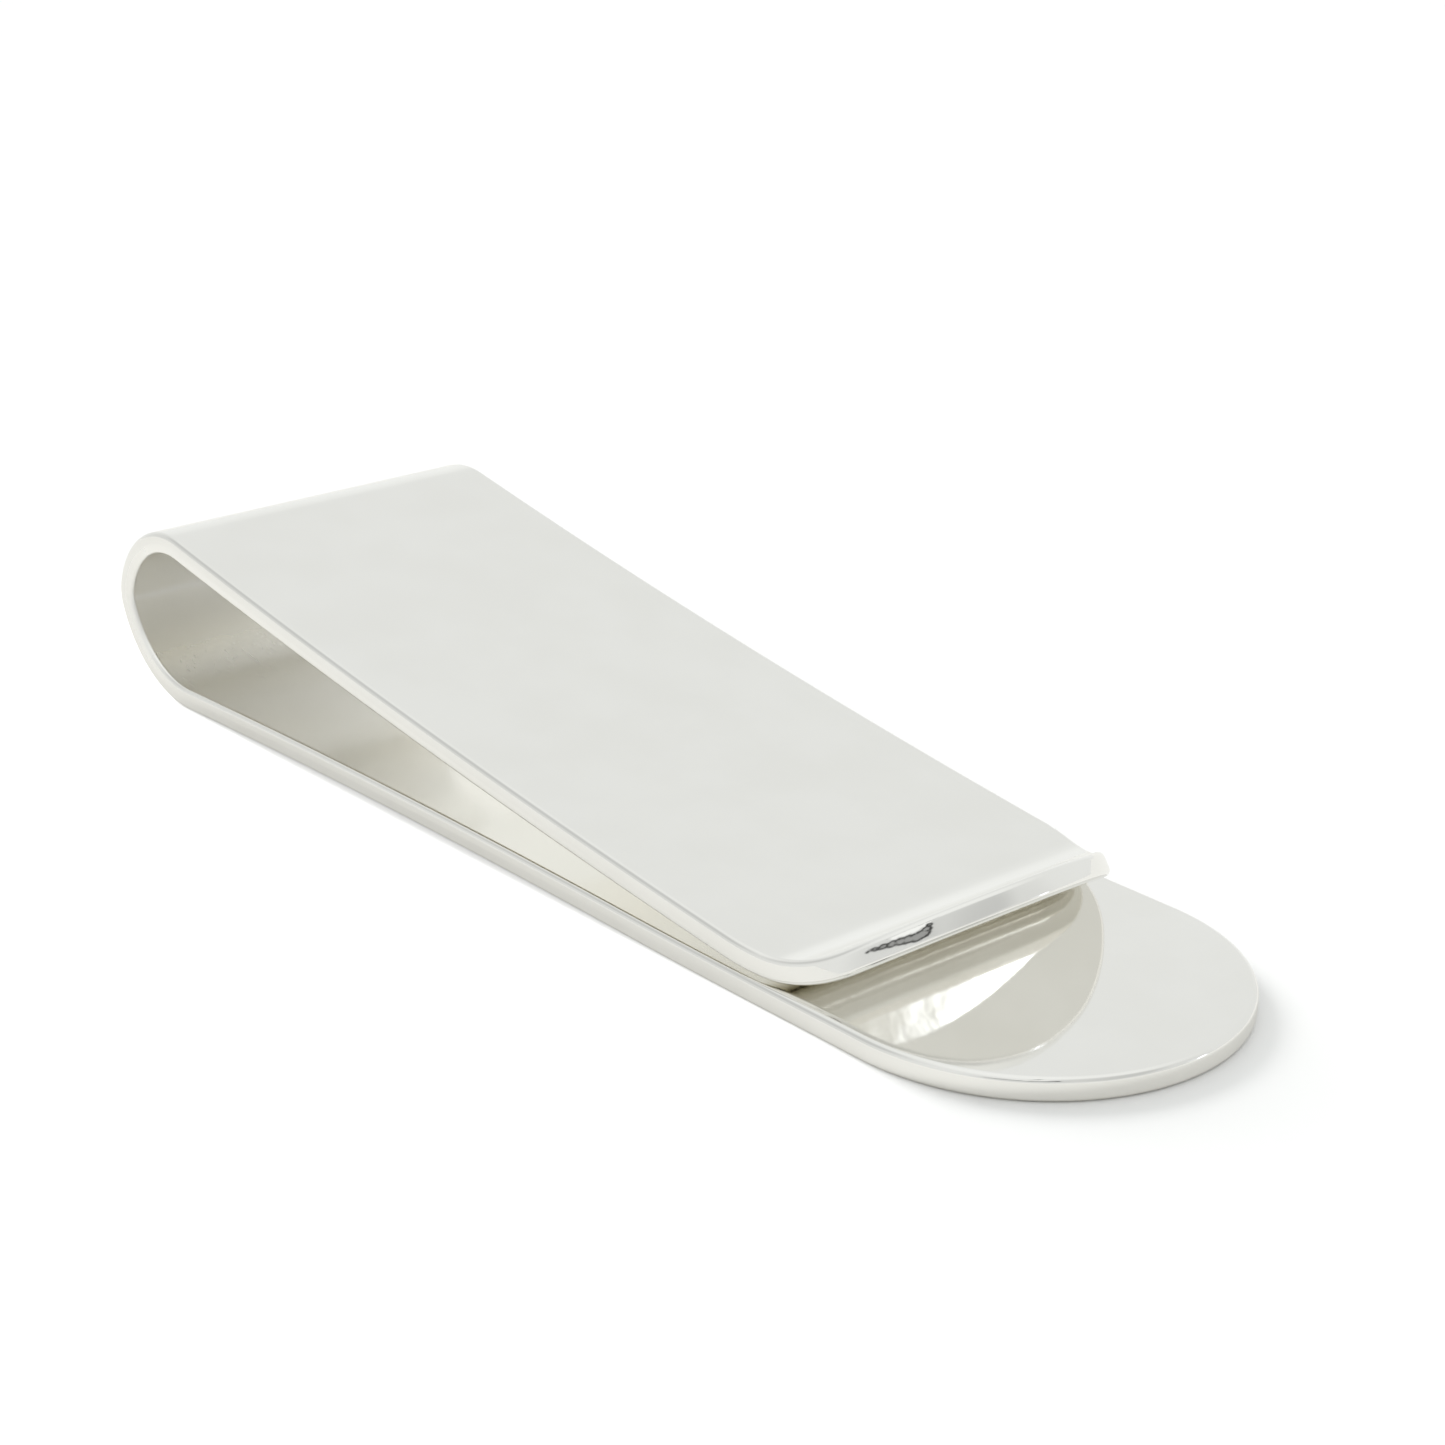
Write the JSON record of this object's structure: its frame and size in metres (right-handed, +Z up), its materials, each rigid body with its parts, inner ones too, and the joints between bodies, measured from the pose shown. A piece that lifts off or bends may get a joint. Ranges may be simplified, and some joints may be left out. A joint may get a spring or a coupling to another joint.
{
  "type": "money clip",
  "caption": "Spring money clip: a polished silver strip with round ends, folded in a teardrop loop, its front leaf ending in a lip turned up.",
  "frame": {"origin": "centre of the clip's outer box, on the surface that the back plate lies on", "axes": "+X from the loop towards the round ends, +Y across the strip, +Z up from the back plate to the front plate"},
  "size_m": [0.0586, 0.0176, 0.0081],
  "materials": {
    "silver": "polished, with fine hairline wear"
  },
  "bodies": {
    "back": {"back_plate": "silver", "rear_bend": "silver"},
    "front": {"front_bend": "silver", "front_plate": "silver", "thumb_lip": "silver"}
  },
  "joints": [
    {"name": "front_spring", "type": "hinge", "parent": "back", "child": "front", "pos_m": [-0.02935, 0, 0.00436], "axis": [0, -1, 0], "range_deg": [0, 6], "stiffness_Nm_per_rad": 3}
  ]
}
